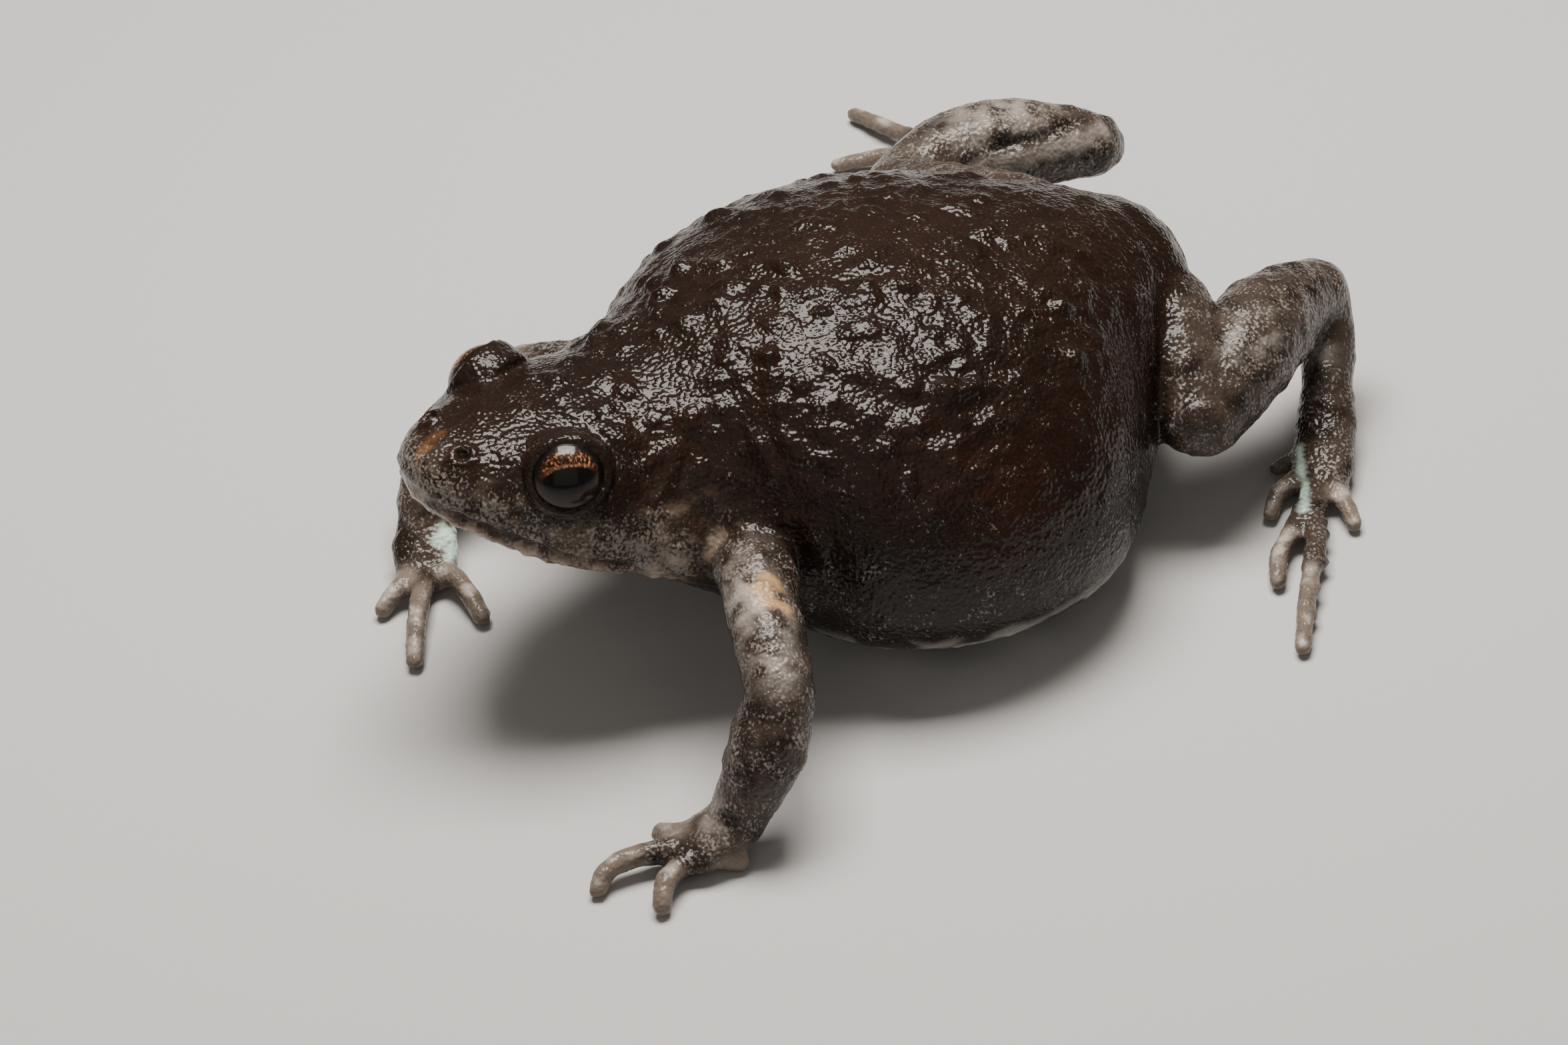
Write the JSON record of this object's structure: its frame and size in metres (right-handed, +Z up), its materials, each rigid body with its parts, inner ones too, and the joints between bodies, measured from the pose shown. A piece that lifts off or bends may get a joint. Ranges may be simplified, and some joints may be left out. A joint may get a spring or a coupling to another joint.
{
  "type": "bibrons toadlet",
  "caption": "Life-size still model of a plump, warty toadlet that crouches with its belly on the floor, hands set down ahead and hind feet spread to the sides.",
  "frame": {"origin": "on the floor, under the middle of the flat that the belly rests on", "axes": "+Z up, -Y the way the animal looks, +X its own left side"},
  "size_m": [0.0399, 0.0374, 0.0136],
  "materials": {
    "back_skin": "wet glossy warty skin, near black brown",
    "limb_skin": "wet skin, grey brown flecked with white",
    "digit_skin": "wet, slightly clear pinkish skin",
    "eye": "wet, clear over a copper and black iris"
  },
  "bodies": {
    "root": {"head": "back_skin", "torso": "back_skin", "eye_left": "eye", "upper_arm_left": "limb_skin", "forearm_left": "limb_skin", "hand_left": "limb_skin", "thigh_left": "limb_skin", "shank_left": "limb_skin", "tarsus_left": "limb_skin", "foot_left": "limb_skin", "finger_1_left": "digit_skin", "finger_2_left": "digit_skin", "finger_3_left": "digit_skin", "finger_4_left": "digit_skin", "toe_1_left": "digit_skin", "toe_2_left": "digit_skin", "toe_3_left": "digit_skin", "toe_4_left": "digit_skin", "toe_5_left": "digit_skin", "eye_right": "eye", "upper_arm_right": "limb_skin", "forearm_right": "limb_skin", "hand_right": "limb_skin", "thigh_right": "limb_skin", "shank_right": "limb_skin", "tarsus_right": "limb_skin", "foot_right": "limb_skin", "finger_1_right": "digit_skin", "finger_2_right": "digit_skin", "finger_3_right": "digit_skin", "finger_4_right": "digit_skin", "toe_1_right": "digit_skin", "toe_2_right": "digit_skin", "toe_3_right": "digit_skin", "toe_4_right": "digit_skin", "toe_5_right": "digit_skin"}
  },
  "joints": []
}
